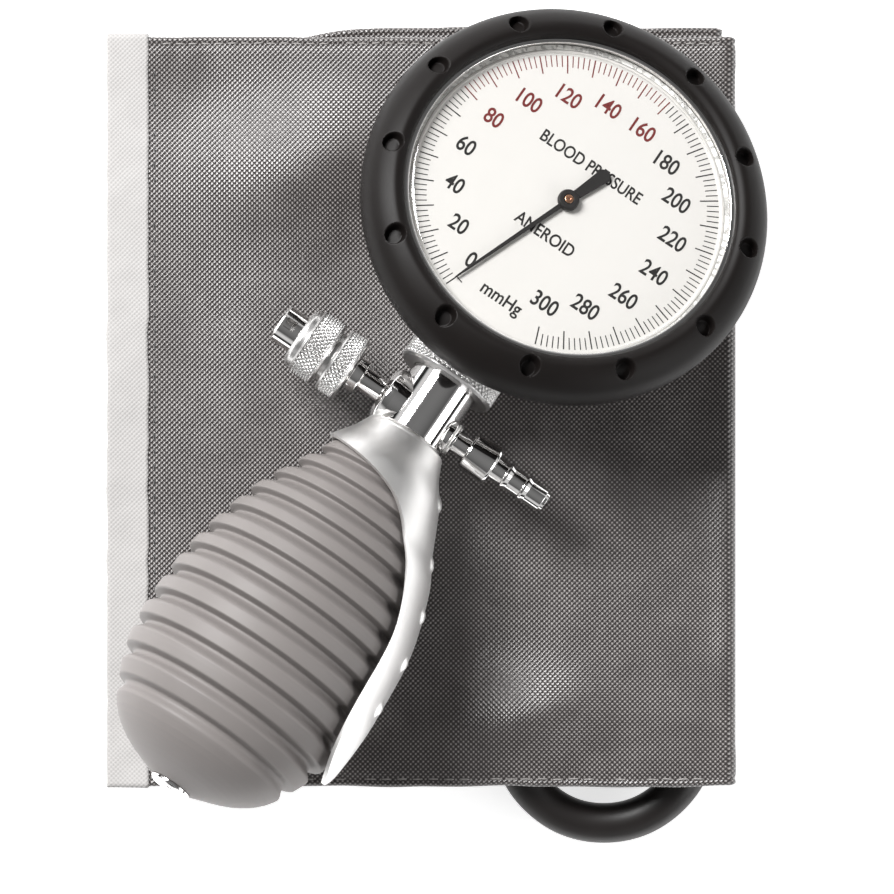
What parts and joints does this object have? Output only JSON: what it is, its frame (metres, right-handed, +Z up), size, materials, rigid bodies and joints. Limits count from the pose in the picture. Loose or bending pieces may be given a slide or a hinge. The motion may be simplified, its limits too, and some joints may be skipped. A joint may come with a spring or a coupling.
{
  "type": "upper arm blood pressure monitor",
  "caption": "Palm aneroid blood pressure gauge with squeeze bulb, release valve and spoon handle, lying on its folded arm cuff with a rubber hose.",
  "frame": {"origin": "centre of the underside of the folded cuff, on the surface it lies on", "axes": "+X across the folded panels away from the bound edge, +Y along the cuff's width towards the gauge, +Z up"},
  "size_m": [0.1307, 0.166, 0.0676],
  "materials": {
    "nylon": "woven nylon, satin",
    "tape": "woven edge tape, off-white",
    "loop_pile": "brushed loop pile",
    "hook_pile": "moulded hook pile",
    "latex": "matte latex-free rubber",
    "black_rubber": "satin moulded rubber",
    "chrome": "bright plated brass",
    "spring_steel": "bright plated sheet steel",
    "steel": "turned",
    "case_metal": "spun and polished",
    "lens": "clear moulded",
    "dial": "silver-white, fine grain",
    "pointer_black": "satin black",
    "copper_pin": "turned copper alloy",
    "brass": "machined",
    "nylon_valve": "moulded"
  },
  "bodies": {
    "cuff": {"cuff_shell": "nylon", "cuff_bladder": "latex", "bladder_spout": "latex", "hose": "black_rubber", "edge_binding": "tape", "hook_patch": "hook_pile", "loop_patch": "loop_pile"},
    "handset": {"bulb": "black_rubber", "intake_valve_body": "chrome", "intake_cage": "steel", "bulb_connector": "chrome", "outlet_cage": "steel", "valve_block": "chrome", "release_valve_housing": "chrome", "hose_nipple": "chrome", "nipple_washer": "nylon_valve", "union_nut": "chrome", "stem_seal": "latex", "inlet_stem": "chrome", "stem_screws": "steel", "gauge_case": "case_metal", "rubber_bumper": "black_rubber", "bezel_ring": "chrome", "lens_gasket": "latex", "lens": "lens", "dial_plate": "dial", "movement_base": "brass", "movement_pillars": "brass", "movement_bridge": "brass", "bridge_screws": "steel", "capsule": "copper_pin", "hairspring": "copper_pin"},
    "spoon": {"spoon_handle": "spring_steel"},
    "intake": {"intake_disc": "latex"},
    "outlet": {"outlet_disc": "latex"},
    "valve_spindle": {"valve_packing": "latex"},
    "valve_knob": {"release_knob": "chrome", "valve_needle": "steel", "knob_end_cap": "chrome"},
    "pointer": {"pointer": "pointer_black", "pointer_pin": "copper_pin", "pinion_staff": "steel"},
    "sector": {"sector_gear": "brass"},
    "rocker": {"rocking_shaft": "steel"},
    "stud": {"capsule_stud": "brass"}
  },
  "joints": [
    {"name": "handset_lift", "type": "slide", "parent": "cuff", "child": "handset", "axis": [0, 0, 1], "range_m": [0, 0.1]},
    {"name": "spoon_turn", "type": "hinge", "parent": "handset", "child": "spoon", "pos_m": [-0.01555, -0.02397, 0.03699], "axis": [-0.5508, -0.8105, 0.1994], "range_deg": [0, 152]},
    {"name": "intake_lift", "type": "slide", "parent": "handset", "child": "intake", "axis": [0.5508, 0.8105, -0.1994], "range_m": [0, 0.0012], "stiffness_N_per_m": 5, "springref_m": -0.0001},
    {"name": "outlet_lift", "type": "slide", "parent": "handset", "child": "outlet", "axis": [0.5508, 0.8105, -0.1994], "range_m": [0, 0.0012], "stiffness_N_per_m": 5, "springref_m": -0.0001},
    {"name": "valve_travel", "type": "slide", "parent": "handset", "child": "valve_spindle", "axis": [-0.8271, 0.5621, 0], "range_m": [0, 0.00104]},
    {"name": "valve_turn", "type": "hinge", "parent": "valve_spindle", "child": "valve_knob", "pos_m": [-0.00013, -0.00128, 0.03141], "axis": [-0.8271, 0.5621, 0], "range_deg": [0, 540]},
    {"name": "sector_swing", "type": "hinge", "parent": "handset", "child": "sector", "pos_m": [0.01123, 0.04194, 0.03939], "axis": [0.1968, 0.2896, 0.9367], "range_deg": [0, 32]},
    {"name": "pointer_turn", "type": "hinge", "parent": "handset", "child": "pointer", "pos_m": [0.02905, 0.04166, 0.04533], "axis": [-0.1968, -0.2896, -0.9367], "range_deg": [0, 320]},
    {"name": "rocker_turn", "type": "hinge", "parent": "handset", "child": "rocker", "pos_m": [0.02269, 0.0323, 0.03718], "axis": [-0.8271, 0.5621, 0], "range_deg": [0, 16]},
    {"name": "stud_lift", "type": "slide", "parent": "handset", "child": "stud", "axis": [0.1968, 0.2896, 0.9367], "range_m": [0, 0.00128], "stiffness_N_per_m": 400, "springref_m": -0.001}
  ],
  "couplings": [
    {"joint": "valve_turn", "follows": "valve_travel", "rad_per_m": 8976},
    {"joint": "sector_swing", "follows": "stud_lift", "rad_per_m": 434.78},
    {"joint": "pointer_turn", "follows": "stud_lift", "rad_per_m": 4347.8},
    {"joint": "rocker_turn", "follows": "stud_lift", "rad_per_m": 217.39}
  ]
}
